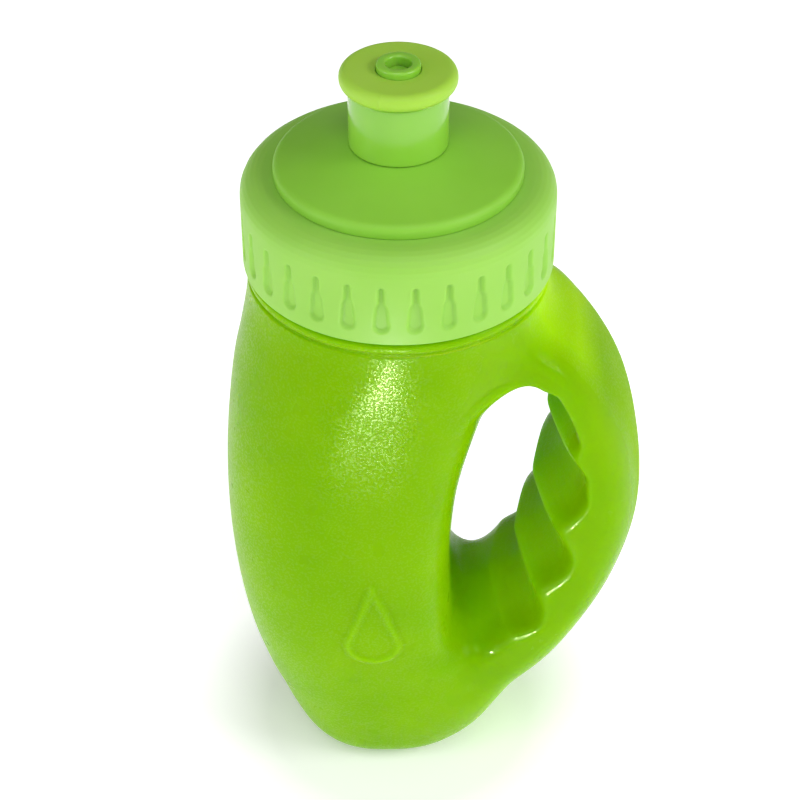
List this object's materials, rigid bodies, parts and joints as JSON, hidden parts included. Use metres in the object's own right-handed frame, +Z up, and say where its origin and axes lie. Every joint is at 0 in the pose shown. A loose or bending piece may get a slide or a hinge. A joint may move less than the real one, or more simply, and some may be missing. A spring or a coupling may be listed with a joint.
{
  "type": "sports squeeze bottle",
  "caption": "Egg-shaped squeeze bottle with a see-through ribbed hand grip, a wide fluted screw cap, a raised conical disc and a push-pull drinking spout.",
  "frame": {"origin": "where the axis of the neck meets the surface that the bottle stands on", "axes": "+Z up along the axis of the neck, +X towards the hand grip, +Y completes a right-handed frame; the bottle is symmetric about the XZ plane except for its screw threads and cap grooves"},
  "size_m": [0.0887, 0.0624, 0.1745],
  "materials": {
    "body": "translucent green polyethylene, fine satin texture",
    "cap": "pale green polypropylene, fine matt texture",
    "disc": "green polypropylene, satin",
    "barrel": "translucent green polyethylene, smooth",
    "lip": "soft green elastomer, satin",
    "seal": "pale silicone rubber, matt"
  },
  "bodies": {
    "bottle": {"bottle_body": "body"},
    "seal": {"neck_seal": "seal"},
    "cap": {"screw_cap": "cap", "cap_disc": "disc"},
    "spout": {"spout_barrel": "barrel", "spout_tip": "lip"}
  },
  "joints": [
    {"name": "cap_lift", "type": "slide", "parent": "bottle", "child": "seal", "axis": [0, 0, 1], "range_m": [0, 0.0201]},
    {"name": "cap_turn", "type": "hinge", "parent": "seal", "child": "cap", "pos_m": [0, 0, 0.131], "axis": [0, 0, 1], "range_deg": [0, 1440]},
    {"name": "spout_pull", "type": "slide", "parent": "cap", "child": "spout", "axis": [0, 0, 1], "range_m": [0, 0.006]}
  ],
  "couplings": [
    {"joint": "cap_lift", "follows": "cap_turn", "m_per_rad": 0.00079577}
  ]
}
